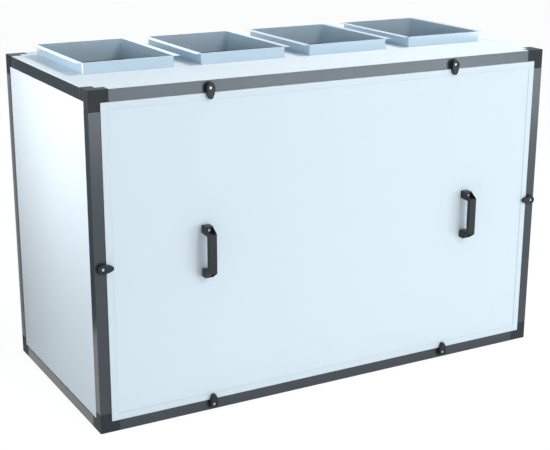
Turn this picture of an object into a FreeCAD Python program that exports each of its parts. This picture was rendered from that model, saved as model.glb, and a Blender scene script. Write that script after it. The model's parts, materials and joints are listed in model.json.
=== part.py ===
import FreeCAD, Part
import math
import os

from FreeCAD import Rotation, Vector

# Top-connected heat recovery unit with a plate exchanger. Millimetres, +Z up, X along the front,
# the front faces -Y. The origin is on the floor, under the middle of the casing.

# ---- driving dimensions ------------------------------------------------------------------------
WIDTH = 1600.0
DEPTH = 730.0
HEIGHT = 1026.0
SHEET = 1.0                      # steel skins, liners and spigots
PLATE = 1.5                      # inner dividers and decks
PROFILE = 35.0                   # side of the square frame tube
TUBE_WALL = 2.0
LIP_LENGTH = 15.0                # fins of the frame profile that carry the panels
LIP_THICKNESS = 2.0
LIP_DEPTH = 32.0                 # outer face of a fin, measured from the outer face of the frame
CORNER_ARM = 61.0                # visible arm of a corner piece, from the outer corner
PLUG_LENGTH = 40.0               # arm of a corner piece inside the tube
PANEL_GAP = 0.5
PANEL_INSET = 1.5                # fixed walls sit this far inside the frame's outer face
FOOT_HOLE_RADIUS = 4.2
FOOT_HOLE_DEPTH = 28.0

DOOR_GAP = 0.8
DOOR_SHEET_PROUD = 2.0           # face of the door sheet, in front of the frame
TRIM_WIDTH = 21.0
TRIM_SHEET = 1.2
TRIM_BACK_WIDTH = 12.0
DOOR_BACK_DEPTH = 27.0           # back of the door's inner sheet, behind the frame's front face

HANDLE_HEIGHT = 160.0
HANDLE_WIDTH = 27.0
HANDLE_REACH = 50.5              # from the door sheet to the front of the grip
HANDLE_GRIP = 13.5
HANDLE_FOOT = 24.5
HANDLE_CHAMFER_HEIGHT = 18.6
HANDLE_CHAMFER_DEPTH = 28.5
HANDLE_WALL = 2.6
HANDLE_SEAT = 10.0               # screw seat above the door sheet
HANDLE_SCREW_INSET = 13.0        # screw axis from the end of the handle
HANDLE_SCREW_RADIUS = 3.0
HANDLE_HOLE_RADIUS = 3.3
HANDLE_PLACES = {"left_handle": (-450.6, 518.5), "right_handle": (499.3, 501.0)}

CLAMP_RADIUS = 13.5
CLAMP_REACH = 32.5               # from the pivot to the tip of the lever
CLAMP_TIP_WIDTH = 10.5
CLAMP_TIP_ROUNDING = 1.6
CLAMP_PROUD = 16.5               # front of the lever, in front of the frame
CLAMP_CHAMFER = 1.0
SPACER_RADIUS = 17.5
SPACER_HEIGHT = 3.4              # lifts a lever clear of the door's trim
CLAMP_INSET = 21.5               # pivot from the outer edge of the frame
CLAMP_COLUMN = 433.0             # pivots of the upper and lower levers from the middle
CLAMP_ROW = 513.0                # height of the pivots at the sides
CLAMP_SCREW_RADIUS = 3.2
SCREW_HEAD_RADIUS = 5.0
SCREW_HEAD_HEIGHT = 4.0
SCREW_SOCKET_RADIUS = 4.2        # mouth of the tapered socket in a clamp screw's head
CLAMP_RECESS = 5.0               # depth of the screw recess in a lever
PIVOT_CLEARANCE = 0.05
FREE_CLEARANCE = 0.3             # between bodies that move past each other

SPIGOT_WIDTH = 292.0
SPIGOT_DEPTH = 408.0
SPIGOT_PITCH = 383.5
SPIGOT_CENTRE_Y = 83.0
SPIGOT_HEIGHT = 34.5
SPIGOT_FLANGE = 20.0
SPIGOT_HEM = 3.0
SPIGOT_NAMES = ("extract_air_spigot", "supply_air_spigot", "exhaust_air_spigot", "outdoor_air_spigot")

EXCHANGER_SIDE = 500.0
EXCHANGER_FRONT = -335.0
EXCHANGER_BACK = 235.0
EXCHANGER_CENTRE_Z = 438.0
EXCHANGER_PITCH = 20.0
EXCHANGER_FOIL = 1.0
EXCHANGER_ANGLE = 30.0
EXCHANGER_END_SHEET = 2.0
EXCHANGER_OVERHANG = 4.0         # end sheets and corner angles beyond the foils
PARTITION_X = 382.5
DECK_Z = 812.0

IMPELLER_RADIUS = 140.0
IMPELLER_EYE = 98.0
IMPELLER_BASE_Z = 824.0
IMPELLER_HEIGHT = 80.0
IMPELLER_BLADES = 7
BLADE_THICKNESS = 3.0
ROTOR_RADIUS = 46.0
FAN_POST_REACH = 113.0
FAN_POST_RADIUS = 4.0

FILTER_OUTER_X = 747.0
FILTER_INNER_X = 391.0
FILTER_FRONT = -322.0
FILTER_BACK = 322.0
FILTER_BASE_Z = 640.0
FILTER_HEIGHT = 94.0
FILTER_RIM = 18.0
FILTER_PLEATS = 10

TRAY_FLOOR = 34.5
TRAY_HEIGHT = 36.0
TRAY_INNER_Y = 324.5
DRAIN_RADIUS = 10.0
DRAIN_NECK_RADIUS = 9.5          # thinner part inside the wall
DRAIN_BORE = 8.5
DRAIN_FLANGE_RADIUS = 15.5
DRAIN_FLANGE = 3.0
DRAIN_WAY = 11.8                 # square hole in the tray, inside the stub's bore
DRAIN_Z = 47.0
DRAIN_END_Y = 395.0
GLAND_RADIUS = 10.0
GLAND_BORE = 5.0
GLAND_HEXAGON = 14.0             # centre to corner
GLAND_HEXAGON_LENGTH = 8.0
GLAND_NUT_RADIUS = 11.5
GLAND_NUT_LENGTH = 16.0
GLAND_DOME_RADIUS = 9.0
GLAND_DOME_LENGTH = 4.0
GLAND_PLACES = (600.0, 650.0)
GLAND_Z = 900.0

BYPASS_BLADE_HALF_WIDTH = 38.0
BYPASS_BLADE_HALF_LENGTH = 186.0
BYPASS_SHAFT_RADIUS = 4.0
BYPASS_CENTRE_Y = 284.0
ACTUATOR_LENGTH = 38.0
ACTUATOR_WIDTH = 50.0
ACTUATOR_HEIGHT = 40.0

# ---- worked-out levels -------------------------------------------------------------------------
HALF_X = WIDTH / 2
HALF_Y = DEPTH / 2
FRONT = -HALF_Y
FRAME_HEIGHT = HEIGHT - SHEET    # the top sheet lies on the upper rails
OPEN_X = HALF_X - PROFILE
OPEN_Y = HALF_Y - PROFILE
OPEN_LOW = PROFILE
OPEN_HIGH = FRAME_HEIGHT - PROFILE
DOOR_X = OPEN_X - DOOR_GAP
DOOR_LOW = OPEN_LOW + DOOR_GAP
DOOR_HIGH = OPEN_HIGH - DOOR_GAP
DOOR_FACE = FRONT - DOOR_SHEET_PROUD
TRIM_FACE = DOOR_FACE - TRIM_SHEET
DOOR_BACK = FRONT + DOOR_BACK_DEPTH
INNER_Y = (DOOR_BACK + TRIM_SHEET + 2 * FREE_CLEARANCE, HALF_Y - LIP_DEPTH)
INNER_TOP = FRAME_HEIGHT - LIP_DEPTH
EXCHANGER_REACH = (EXCHANGER_SIDE / 2 + EXCHANGER_OVERHANG) * math.sqrt(2)
SPIGOT_CENTRES = [SPIGOT_PITCH * (index - 1.5) for index in range(len(SPIGOT_NAMES))]
FAN_CENTRES = SPIGOT_CENTRES[1:3]
LEFT, BACKWARD, UP = Vector(-1, 0, 0), Vector(0, 1, 0), Vector(0, 0, 1)
OUT = Vector(0, -1, 0)


# ---- helpers -----------------------------------------------------------------------------------
def block(x, y, z):
    """A box from three (low, high) pairs."""
    return Part.makeBox(x[1] - x[0], y[1] - y[0], z[1] - z[0], Vector(x[0], y[0], z[0]))


def rod(radius, start, direction, length):
    """A cylinder from its start point along a direction."""
    return Part.makeCylinder(radius, length, start, direction)


def prism(points, along):
    """A flat outline of points, extruded along a vector."""
    outline = Part.makePolygon([Vector(*point) for point in points + points[:1]])
    return Part.Face(outline).extrude(along)


def mirrored_x(shape):
    return shape.mirror(Vector(0, 0, 0), Vector(1, 0, 0))


def mirrored_y(shape):
    return shape.mirror(Vector(0, 0, 0), Vector(0, 1, 0))


def mirrored_z(shape):
    """Turns a piece of the frame's lower half into the matching upper one."""
    return shape.mirror(Vector(0, 0, FRAME_HEIGHT / 2), Vector(0, 0, 1))


def save(node, *shapes):
    """Writes one node: a single solid, or a group of separate ones."""
    solids = [solid for shape in shapes for solid in shape.Solids]
    for solid in solids:
        if not solid.isValid():
            raise ValueError("invalid solid in " + node)
    whole = solids[0] if len(solids) == 1 else Part.makeCompound(solids)
    whole.exportStep("parts/" + node + ".step")
    print(node, len(solids), round(sum(solid.Volume for solid in solids)))


# ---- frame -------------------------------------------------------------------------------------
def rail_section():
    """Section of the lower front rail as a face in YZ: a square tube with two fins."""
    far = LIP_DEPTH + LIP_THICKNESS
    tip = PROFILE + LIP_LENGTH
    outline = [(0, 0), (PROFILE, 0), (PROFILE, LIP_DEPTH), (tip, LIP_DEPTH), (tip, far), (PROFILE, far),
               (PROFILE, PROFILE), (far, PROFILE), (far, tip), (LIP_DEPTH, tip), (LIP_DEPTH, PROFILE),
               (0, PROFILE), (0, 0)]
    inner = PROFILE - TUBE_WALL
    hollow = [(TUBE_WALL, TUBE_WALL), (inner, TUBE_WALL), (inner, inner), (TUBE_WALL, inner),
              (TUBE_WALL, TUBE_WALL)]
    faces = [Part.Face(Part.makePolygon([Vector(0, a, b) for a, b in loop])) for loop in (outline, hollow)]
    return faces[0].cut(faces[1])


def rail(span):
    """A frame rail along +X from the origin; its outer faces are y = 0 and z = 0."""
    return rail_section().extrude(Vector(span, 0, 0))


def drain_passage():
    """Square way through the back wall for the drain stub, open at the panel's lower edge."""
    half = DRAIN_RADIUS + PANEL_GAP / 2
    return block((-half, half), (OPEN_Y - 1, HALF_Y + 1), (OPEN_LOW, DRAIN_Z + half))


def width_rails():
    lower = rail(WIDTH - 2 * CORNER_ARM)
    lower.translate(Vector(-HALF_X + CORNER_ARM, FRONT, 0))
    lower = lower.cut(screw_holes(CLAMP_SCREW_RADIUS + FREE_CLEARANCE))
    upper = mirrored_z(rail(WIDTH - 2 * CORNER_ARM))
    upper.translate(Vector(-HALF_X + CORNER_ARM, FRONT, 0))
    upper = upper.cut(screw_holes(CLAMP_SCREW_RADIUS + FREE_CLEARANCE))
    plain = rail(WIDTH - 2 * CORNER_ARM)
    plain.translate(Vector(-HALF_X + CORNER_ARM, FRONT, 0))
    rear = mirrored_y(plain)
    return [lower, upper, rear.cut(drain_passage()), mirrored_z(rear)]


def depth_rails():
    left = rail(DEPTH - 2 * CORNER_ARM)
    left.rotate(Vector(0, 0, 0), UP, 90)
    left.translate(Vector(HALF_X, FRONT + CORNER_ARM, 0))
    right = left
    left = mirrored_x(right)
    return [left, right, mirrored_z(left), mirrored_z(right)]


def uprights():
    post = rail(FRAME_HEIGHT - 2 * CORNER_ARM)
    post.rotate(Vector(0, 0, 0), OUT, 90)
    post = post.mirror(Vector(0, 0, 0), Vector(1, 0, 0))
    post.translate(Vector(-HALF_X, FRONT, CORNER_ARM))
    drilled = [side.cut(screw_holes(CLAMP_SCREW_RADIUS + FREE_CLEARANCE)) for side in (post, mirrored_x(post))]
    return drilled + [mirrored_y(post), mirrored_y(mirrored_x(post))]


def corner_block():
    """Lower front left corner: three visible arms and the plugs that enter the tubes."""
    arm, side = CORNER_ARM, PROFILE
    plug = (TUBE_WALL + 0.2, PROFILE - TUBE_WALL - 0.2)
    reach = (0, arm + PLUG_LENGTH)
    body = block((0, arm), (0, side), (0, side))
    for part in (block((0, side), (0, arm), (0, side)), block((0, side), (0, side), (0, arm)),
                 block(reach, plug, plug), block(plug, reach, plug), block(plug, plug, reach)):
        body = body.fuse(part)
    body = body.removeSplitter()
    body.translate(Vector(-HALF_X, FRONT, 0))
    return body


def four_corners(corner):
    pair = [corner, mirrored_x(corner)]
    return pair + [mirrored_y(item) for item in pair]


def bottom_corners():
    hole = rod(FOOT_HOLE_RADIUS, Vector(-HALF_X + PROFILE / 2, FRONT + PROFILE / 2, 0), UP, FOOT_HOLE_DEPTH)
    return four_corners(corner_block().cut(hole))


def corner_tab(grow=0.0):
    """L-shaped upper face of the front left corner, one sheet thick."""
    z = (FRAME_HEIGHT, HEIGHT)
    along_x = block((-HALF_X, -HALF_X + CORNER_ARM + grow), (FRONT, FRONT + PROFILE + grow), z)
    along_y = block((-HALF_X, -HALF_X + PROFILE + grow), (FRONT, FRONT + CORNER_ARM + grow), z)
    return along_x.fuse(along_y).removeSplitter()


def top_corners():
    return four_corners(mirrored_z(corner_block()).fuse(corner_tab()).removeSplitter())


# ---- fixed walls -------------------------------------------------------------------------------
def spigot_cutters(grow, z):
    """Boxes through the top for the four spigots."""
    half_x, half_y = SPIGOT_WIDTH / 2 + grow, SPIGOT_DEPTH / 2 + grow
    y = (SPIGOT_CENTRE_Y - half_y, SPIGOT_CENTRE_Y + half_y)
    return [block((x - half_x, x + half_x), y, z) for x in SPIGOT_CENTRES]


def cut_all(shape, tools):
    for tool in tools:
        shape = shape.cut(tool)
    return shape


def top_sheet():
    edge = 1.0
    sheet = block((-HALF_X + edge, HALF_X - edge), (FRONT + edge, HALF_Y - edge), (FRAME_HEIGHT, HEIGHT))
    sheet = cut_all(sheet, four_corners(corner_tab(PANEL_GAP)))
    return cut_all(sheet, spigot_cutters(PANEL_GAP / 2, (FRAME_HEIGHT - 1, HEIGHT + 1)))


def roof_layer(z):
    """Insulation or liner of the roof, lying between the upper rails on their fins."""
    x = (-OPEN_X + PANEL_GAP, OPEN_X - PANEL_GAP)
    y = (-OPEN_Y + PANEL_GAP, OPEN_Y - PANEL_GAP)
    return cut_all(block(x, y, z), spigot_cutters(PANEL_GAP / 2, (z[0] - 1, z[1] + 1)))


def side_layer(near, far):
    """Left wall layer between two depths from the frame's outer face."""
    return block((-HALF_X + near, -HALF_X + far), (-OPEN_Y + PANEL_GAP, OPEN_Y - PANEL_GAP),
                 (OPEN_LOW + PANEL_GAP, OPEN_HIGH - PANEL_GAP))


def back_layer(near, far):
    layer = block((-OPEN_X + PANEL_GAP, OPEN_X - PANEL_GAP), (HALF_Y - far, HALF_Y - near),
                  (OPEN_LOW + PANEL_GAP, OPEN_HIGH - PANEL_GAP))
    span = PROFILE * 2
    holes = [rod(GLAND_RADIUS + PANEL_GAP / 2, Vector(x, HALF_Y - span, GLAND_Z), BACKWARD, span)
             for x in GLAND_PLACES]
    return cut_all(layer, holes + [drain_passage()])


def floor_layer(near, far):
    return block((-OPEN_X + PANEL_GAP, OPEN_X - PANEL_GAP), (-OPEN_Y + PANEL_GAP, OPEN_Y - PANEL_GAP),
                 (near, far))


# ---- service door ------------------------------------------------------------------------------
def door_slab(y, inset=TRIM_SHEET):
    return block((-DOOR_X + inset, DOOR_X - inset), y, (DOOR_LOW + inset, DOOR_HIGH - inset))


def handle_screw_points():
    """Axis of each handle screw, on the door sheet's face."""
    reach = HANDLE_HEIGHT / 2 - HANDLE_SCREW_INSET
    return [Vector(x, DOOR_FACE, z + side * reach) for x, z in HANDLE_PLACES.values() for side in (1, -1)]


def handle_holes():
    """Clearance for the handle screws in the door's outer layers."""
    return [rod(HANDLE_HOLE_RADIUS, point, BACKWARD, DOOR_BACK_DEPTH) for point in handle_screw_points()]


def door_trim():
    """Four mitred U-profiles around the edge of the door."""
    back = DOOR_BACK + TRIM_SHEET
    edge = door_slab((TRIM_FACE, back), 0).cut(door_slab((TRIM_FACE, back), TRIM_SHEET))
    front = door_slab((TRIM_FACE, DOOR_FACE), 0).cut(door_slab((TRIM_FACE, DOOR_FACE), TRIM_WIDTH))
    rear = door_slab((DOOR_BACK, back), 0).cut(door_slab((DOOR_BACK, back), TRIM_BACK_WIDTH))
    ring = edge.fuse([front, rear]).removeSplitter()
    x, low, high, w = DOOR_X, DOOR_LOW, DOOR_HIGH, TRIM_WIDTH
    corners = [(-x, low), (x, low), (x, high), (-x, high)]
    inner = [(-x + w, low + w), (x - w, low + w), (x - w, high - w), (-x + w, high - w)]
    pieces = []
    for index in range(4):
        after = (index + 1) % 4
        loop = [corners[index], corners[after], inner[after], inner[index]]
        wedge = prism([(a, TRIM_FACE, b) for a, b in loop], Vector(0, back - TRIM_FACE, 0))
        pieces.append(ring.common(wedge))
    return pieces


def door_gasket():
    """Foam strip on the fins, just behind the door."""
    y = (DOOR_BACK + TRIM_SHEET + FREE_CLEARANCE, FRONT + LIP_DEPTH)
    outer = block((-OPEN_X + 1, OPEN_X - 1), y, (OPEN_LOW + 1, OPEN_HIGH - 1))
    width = LIP_LENGTH - 2
    inner = block((-OPEN_X + width, OPEN_X - width), y, (OPEN_LOW + width, OPEN_HIGH - width))
    return outer.cut(inner)


def handle(x, z):
    """Bridge handle: two feet, a flat grip and sloping ends with a pocket for each screw."""
    half, reach = HANDLE_HEIGHT / 2, HANDLE_REACH
    shoulder = half - HANDLE_CHAMFER_HEIGHT
    slope = reach - HANDLE_CHAMFER_DEPTH
    inner = reach - HANDLE_GRIP
    foot, throat = half - HANDLE_FOOT, half - HANDLE_FOOT + 3.0
    upper = [(half, 0), (half, slope), (shoulder, reach)]
    lower = [(-shoulder, reach), (-half, slope), (-half, 0), (-foot, 0), (-throat, inner)]
    side = upper + lower + [(throat, inner), (foot, 0)]
    outline = [(x - HANDLE_WIDTH / 2, DOOR_FACE - depth, z + height) for height, depth in side]
    body = prism(outline, Vector(HANDLE_WIDTH, 0, 0))
    pocket_x = (x - HANDLE_WIDTH / 2 + HANDLE_WALL, x + HANDLE_WIDTH / 2 - HANDLE_WALL)
    pocket_y = (DOOR_FACE - reach, DOOR_FACE - HANDLE_SEAT)
    for sign in (1, -1):
        ends = sorted((z + sign * (half - HANDLE_WALL), z + sign * (shoulder - 1.0)))
        body = body.cut(block(pocket_x, pocket_y, ends))
    return cut_all(body, [rod(HANDLE_HOLE_RADIUS, point, OUT, HANDLE_REACH)
                          for point in handle_screw_points()])


def handle_screws():
    """Socket-head screws through the handle feet into the door sheet."""
    screws = []
    for point in handle_screw_points():
        seat = point + OUT * HANDLE_SEAT
        head = rod(SCREW_HEAD_RADIUS, seat, OUT, 6.0).cut(rod(2.6, seat + OUT * 3.0, OUT, 3.0))
        screws.append(head.fuse(rod(HANDLE_SCREW_RADIUS, point + BACKWARD * 15.0, OUT, 15.0 + HANDLE_SEAT)))
    return screws


# ---- clamps ------------------------------------------------------------------------------------
def clamp_places():
    """Pivot point on the frame's front face and the direction of the tip, by lever."""
    low, high = CLAMP_INSET, HEIGHT - CLAMP_INSET
    side = HALF_X - CLAMP_INSET
    return {"clamp_lever_top_left": (-CLAMP_COLUMN, high, -UP),
            "clamp_lever_top_right": (CLAMP_COLUMN, high, -UP),
            "clamp_lever_left": (-side, CLAMP_ROW, -LEFT),
            "clamp_lever_right": (side, CLAMP_ROW, LEFT),
            "clamp_lever_bottom_left": (-CLAMP_COLUMN, low, UP),
            "clamp_lever_bottom_right": (CLAMP_COLUMN, low, UP)}


def screw_holes(radius):
    """Cylinders along the clamp screws, through the front wall of the frame tubes."""
    return [rod(radius, Vector(x, FRONT - 1, z), BACKWARD, TUBE_WALL + 2)
            for x, z, _ in clamp_places().values()]


def lever_outline(centre, tip):
    """Face of a lever's arm: two shallow arcs from the round head to a blunt tip."""
    side = tip.cross(OUT)
    run = CLAMP_REACH - CLAMP_TIP_ROUNDING
    drop = CLAMP_RADIUS - CLAMP_TIP_WIDTH / 2
    bend = (run ** 2 + drop ** 2) / (2 * drop)
    middle = CLAMP_RADIUS - bend + math.sqrt(bend ** 2 - run ** 2 / 4)
    blunt = CLAMP_TIP_WIDTH / 2 - CLAMP_TIP_ROUNDING
    nose = centre + tip * CLAMP_REACH
    edges = [Part.makeLine(nose + side * blunt, nose - side * blunt),
             Part.makeLine(centre - side * CLAMP_RADIUS, centre + side * CLAMP_RADIUS)]
    for way in (side, -side):
        head, end = centre + way * CLAMP_RADIUS, centre + tip * run + way * (CLAMP_TIP_WIDTH / 2)
        shoulder = centre + tip * (run / 2) + way * middle
        edges += [Part.Arc(head, shoulder, end).toShape(), Part.makeLine(end, nose + way * blunt)]
    return Part.Face(Part.Wire(Part.__sortEdges__(edges)))


def clamp_lever(x, z, tip):
    """Lever with a bore for its screw and a recess for the screw's head."""
    centre = Vector(x, FRONT - SPACER_HEIGHT - FREE_CLEARANCE, z)
    thickness = CLAMP_PROUD - SPACER_HEIGHT - FREE_CLEARANCE
    arm = lever_outline(centre, tip).extrude(OUT * thickness)
    lever = arm.fuse(rod(CLAMP_RADIUS, centre, OUT, thickness)).removeSplitter()
    rim = [edge for edge in lever.Edges
           if abs(edge.BoundBox.YMax - (FRONT - CLAMP_PROUD)) < 0.01]
    lever = lever.makeChamfer(CLAMP_CHAMFER, rim)
    bore = rod(CLAMP_SCREW_RADIUS + PIVOT_CLEARANCE, centre, OUT, thickness)
    recess = rod(SCREW_HEAD_RADIUS + 1.3, centre + OUT * (thickness - CLAMP_RECESS), OUT, CLAMP_RECESS)
    return lever.cut(bore).cut(recess)


def clamp_spacers():
    """Round bosses on the frame that carry the levers, cut off at the frame's inner edge."""
    bores = CLAMP_SCREW_RADIUS + FREE_CLEARANCE
    bosses = []
    for x, z, tip in clamp_places().values():
        foot = Vector(x, FRONT, z)
        boss = rod(SPACER_RADIUS, foot, OUT, SPACER_HEIGHT).cut(rod(bores, foot, OUT, SPACER_HEIGHT))
        spare = Part.makeBox(2 * SPACER_RADIUS, 2 * SPACER_RADIUS, 2 * SPACER_RADIUS)
        spare.translate(-Vector(SPACER_RADIUS, SPACER_RADIUS, SPACER_RADIUS))
        spare.translate(foot + tip * (PROFILE - CLAMP_INSET + SPACER_RADIUS))
        bosses.append(boss.cut(spare))
    return bosses


def clamp_screws():
    """Screws whose heads have a wide tapered socket."""
    seat = CLAMP_PROUD - CLAMP_RECESS + FREE_CLEARANCE
    screws = []
    for x, z, _ in clamp_places().values():
        base = Vector(x, FRONT - seat, z)
        head = rod(SCREW_HEAD_RADIUS, base, OUT, SCREW_HEAD_HEIGHT)
        depth = SCREW_HEAD_HEIGHT - 1.0
        socket = Part.makeCone(SCREW_SOCKET_RADIUS / 2, SCREW_SOCKET_RADIUS, depth, base + OUT, OUT)
        shank = rod(CLAMP_SCREW_RADIUS, base, BACKWARD, seat + 12.0)
        screws.append(head.cut(socket).fuse(shank))
    return screws


# ---- spigots -----------------------------------------------------------------------------------
def spigot(x):
    """Rectangular sheet neck; flanges at left and right, a narrow hem at front and back."""
    half_x, half_y = SPIGOT_WIDTH / 2, SPIGOT_DEPTH / 2
    y = (SPIGOT_CENTRE_Y - half_y, SPIGOT_CENTRE_Y + half_y)
    top = HEIGHT + SPIGOT_HEIGHT
    z = (FRAME_HEIGHT - LIP_DEPTH, top)
    neck = block((x - half_x, x + half_x), y, z)
    rim = (top - SHEET, top)
    flange = block((x - half_x - SPIGOT_FLANGE, x + half_x + SPIGOT_FLANGE), y, rim)
    hem = block((x - half_x, x + half_x), (y[0] - SPIGOT_HEM, y[1] + SPIGOT_HEM), rim)
    hollow = block((x - half_x + SHEET, x + half_x - SHEET), (y[0] + SHEET, y[1] - SHEET),
                   (z[0] - 1, top + 1))
    return neck.fuse([flange, hem]).cut(hollow).removeSplitter()


# ---- plate exchanger ---------------------------------------------------------------------------
def on_edge(shape):
    """Stands a square shape, built about the Y axis, on its edge at the exchanger's height."""
    shape.rotate(Vector(0, 0, 0), BACKWARD, 45)
    shape.translate(Vector(0, 0, EXCHANGER_CENTRE_Z))
    return shape


def exchanger_foils():
    half = EXCHANGER_SIDE / 2
    first = EXCHANGER_FRONT + EXCHANGER_PITCH / 2
    count = int((EXCHANGER_BACK - EXCHANGER_FRONT) / EXCHANGER_PITCH)
    stations = [first + EXCHANGER_PITCH * index for index in range(count)]
    return [on_edge(block((-half, half), (y, y + EXCHANGER_FOIL), (-half, half))) for y in stations]


def exchanger_frame():
    """Two end sheets and four corner angles that hold the foils together."""
    half = EXCHANGER_SIDE / 2 + EXCHANGER_OVERHANG
    sheet = EXCHANGER_END_SHEET
    ends = [block((-half, half), (y, y + sheet), (-half, half))
            for y in (EXCHANGER_FRONT, EXCHANGER_BACK - sheet)]
    y = (EXCHANGER_FRONT + sheet, EXCHANGER_BACK - sheet)
    leg = half - EXCHANGER_ANGLE
    angle = block((leg, half), y, (half - sheet, half)).fuse(block((half - sheet, half), y, (leg, half)))
    angle = angle.removeSplitter()
    angles = [angle.copy() for _ in range(4)]
    for index, item in enumerate(angles):
        item.rotate(Vector(0, 0, 0), BACKWARD, 90 * index)
    return [on_edge(item) for item in ends + angles]


def exchanger_seals():
    """Foam strips from the exchanger's four edges to the dividers, the deck and the tray."""
    y = (EXCHANGER_FRONT, INNER_Y[1])
    gap = 0.2
    reach = EXCHANGER_REACH + gap
    level = (EXCHANGER_CENTRE_Z - 9, EXCHANGER_CENTRE_Z + 9)
    left = block((-PARTITION_X, -reach), y, level)
    top = block((-9, 9), y, (EXCHANGER_CENTRE_Z + reach, DECK_Z))
    bottom = block((-9, 9), (-TRAY_INNER_Y, TRAY_INNER_Y), (TRAY_FLOOR + PLATE, EXCHANGER_CENTRE_Z - reach))
    return [left, mirrored_x(left), top, bottom]


# ---- dividers and tray -------------------------------------------------------------------------
def divider(x, low):
    """Wall between two air spaces up to the roof, notched round the fins and the gasket."""
    notched = cut_all(block(x, INNER_Y, (low, INNER_TOP)), width_rails() + [door_gasket()])
    return max(notched.Solids, key=lambda solid: solid.Volume)


def side_partition():
    return divider((-PARTITION_X - PLATE, -PARTITION_X), EXCHANGER_CENTRE_Z - 9)


def centre_partition():
    return divider((-PLATE / 2, PLATE / 2), DECK_Z + PLATE)


def fan_deck():
    """Shelf over the exchanger with one inlet hole per fan."""
    deck = block((-PARTITION_X, PARTITION_X), INNER_Y, (DECK_Z, DECK_Z + PLATE))
    return cut_all(deck, [rod(IMPELLER_EYE + 6, Vector(x, SPIGOT_CENTRE_Y, DECK_Z - 1), UP, PLATE + 2)
                          for x in FAN_CENTRES])


def drip_tray():
    x, y = PARTITION_X - 10, TRAY_INNER_Y
    outer = block((-x - PLATE, x + PLATE), (-y - PLATE, y + PLATE), (TRAY_FLOOR, TRAY_FLOOR + TRAY_HEIGHT))
    inner = block((-x, x), (-y, y), (TRAY_FLOOR + PLATE, TRAY_FLOOR + TRAY_HEIGHT + 1))
    half = DRAIN_WAY / 2
    return outer.cut(inner).cut(block((-half, half), (y - 1, y + PLATE + 1), (DRAIN_Z - half, DRAIN_Z + half)))


def drain_stub():
    """Pipe through the back wall, with a flange outside and a hose seat beyond it."""
    start = Vector(0, TRAY_INNER_Y + PLATE, DRAIN_Z)
    wall = Vector(0, HALF_Y, DRAIN_Z)
    stub = rod(DRAIN_NECK_RADIUS, start, BACKWARD, wall.y - start.y)
    stub = stub.fuse([rod(DRAIN_FLANGE_RADIUS, wall, BACKWARD, DRAIN_FLANGE),
                      rod(DRAIN_RADIUS, wall, BACKWARD, DRAIN_END_Y - wall.y)])
    return stub.removeSplitter().cut(rod(DRAIN_BORE, start, BACKWARD, DRAIN_END_Y - start.y))


# ---- fans --------------------------------------------------------------------------------------
def inlet_nozzle(x):
    """Bell-mouthed ring on the deck, below the impeller's eye."""
    deck = DECK_Z + PLATE
    outer, throat = IMPELLER_EYE + 24, IMPELLER_EYE - 6
    points = [(outer, 0), (outer, 1.5), (throat + 9, 1.5), (throat + 3.5, 4), (throat + 1.5, 9), (throat, 9),
              (throat + 2, 3), (throat + 7, 0)]
    outline = [(x + radius, SPIGOT_CENTRE_Y, deck + height) for radius, height in points]
    face = Part.Face(Part.makePolygon([Vector(*point) for point in outline + outline[:1]]))
    return face.revolve(Vector(x, SPIGOT_CENTRE_Y, 0), UP, 360)


def blade(direction):
    """One backward-curved blade as an arc-shaped plate about the Z axis."""
    inner, outer = 70.0, IMPELLER_RADIUS - 2
    swirl = math.radians(48) * direction
    start = Vector(inner, 0, 0)
    end = Vector(outer * math.cos(swirl), outer * math.sin(swirl), 0)
    middle = (start + end) * 0.5 + Vector(end.y - start.y, start.x - end.x, 0).normalize() * 10 * direction
    path = Part.Arc(start, middle, end).toShape()
    centre = path.Curve.Center
    radius = path.Curve.Radius
    shift = BLADE_THICKNESS / radius
    far = [centre + (point - centre) * (1 + shift) for point in (start, middle, end)]
    edges = [path, Part.LineSegment(end, far[2]).toShape(), Part.Arc(far[2], far[1], far[0]).toShape(),
             Part.LineSegment(far[0], start).toShape()]
    plate = Part.Face(Part.Wire(edges)).extrude(UP * (IMPELLER_HEIGHT - 2))
    plate.translate(Vector(0, 0, 1))
    return plate


def impeller(x, direction):
    """Backward-curved plug fan wheel with its outer-rotor motor can."""
    top = IMPELLER_HEIGHT - 2
    wheel = rod(IMPELLER_RADIUS, Vector(0, 0, top), UP, 2)
    wheel = wheel.fuse(rod(ROTOR_RADIUS, Vector(0, 0, top - 42), UP, 42))
    shroud = rod(IMPELLER_RADIUS, Vector(0, 0, 0), UP, 2).cut(rod(IMPELLER_EYE, Vector(0, 0, 0), UP, 2))
    blades = []
    for index in range(IMPELLER_BLADES):
        item = blade(direction)
        item.rotate(Vector(0, 0, 0), UP, 360.0 / IMPELLER_BLADES * index)
        blades.append(item)
    wheel = wheel.fuse([shroud] + blades).removeSplitter()
    wheel.translate(Vector(x, SPIGOT_CENTRE_Y, IMPELLER_BASE_Z))
    return wheel


def fan_bracket(x):
    """Cross plate on four posts that holds the motor over the wheel."""
    base = DECK_Z + PLATE
    plate_z = IMPELLER_BASE_Z + IMPELLER_HEIGHT + 15
    centre = Vector(x, SPIGOT_CENTRE_Y, 0)
    arm = FAN_POST_REACH * math.sqrt(2) + 12
    bar = block((-arm, arm), (-14, 14), (plate_z, plate_z + 3))
    cross = bar.copy()
    bar.rotate(Vector(0, 0, 0), UP, 45)
    cross.rotate(Vector(0, 0, 0), UP, -45)
    plate = bar.fuse([cross, rod(58, Vector(0, 0, plate_z), UP, 3)])
    reach = FAN_POST_REACH
    posts = [rod(FAN_POST_RADIUS, Vector(a, b, base), UP, plate_z - base + 1)
             for a in (-reach, reach) for b in (-reach, reach)]
    whole = plate.fuse(posts).removeSplitter()
    whole.translate(centre)
    return whole


def fan_stator(x):
    low = IMPELLER_BASE_Z + IMPELLER_HEIGHT + 2
    return rod(45, Vector(x, SPIGOT_CENTRE_Y, low), UP, 13)


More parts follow.
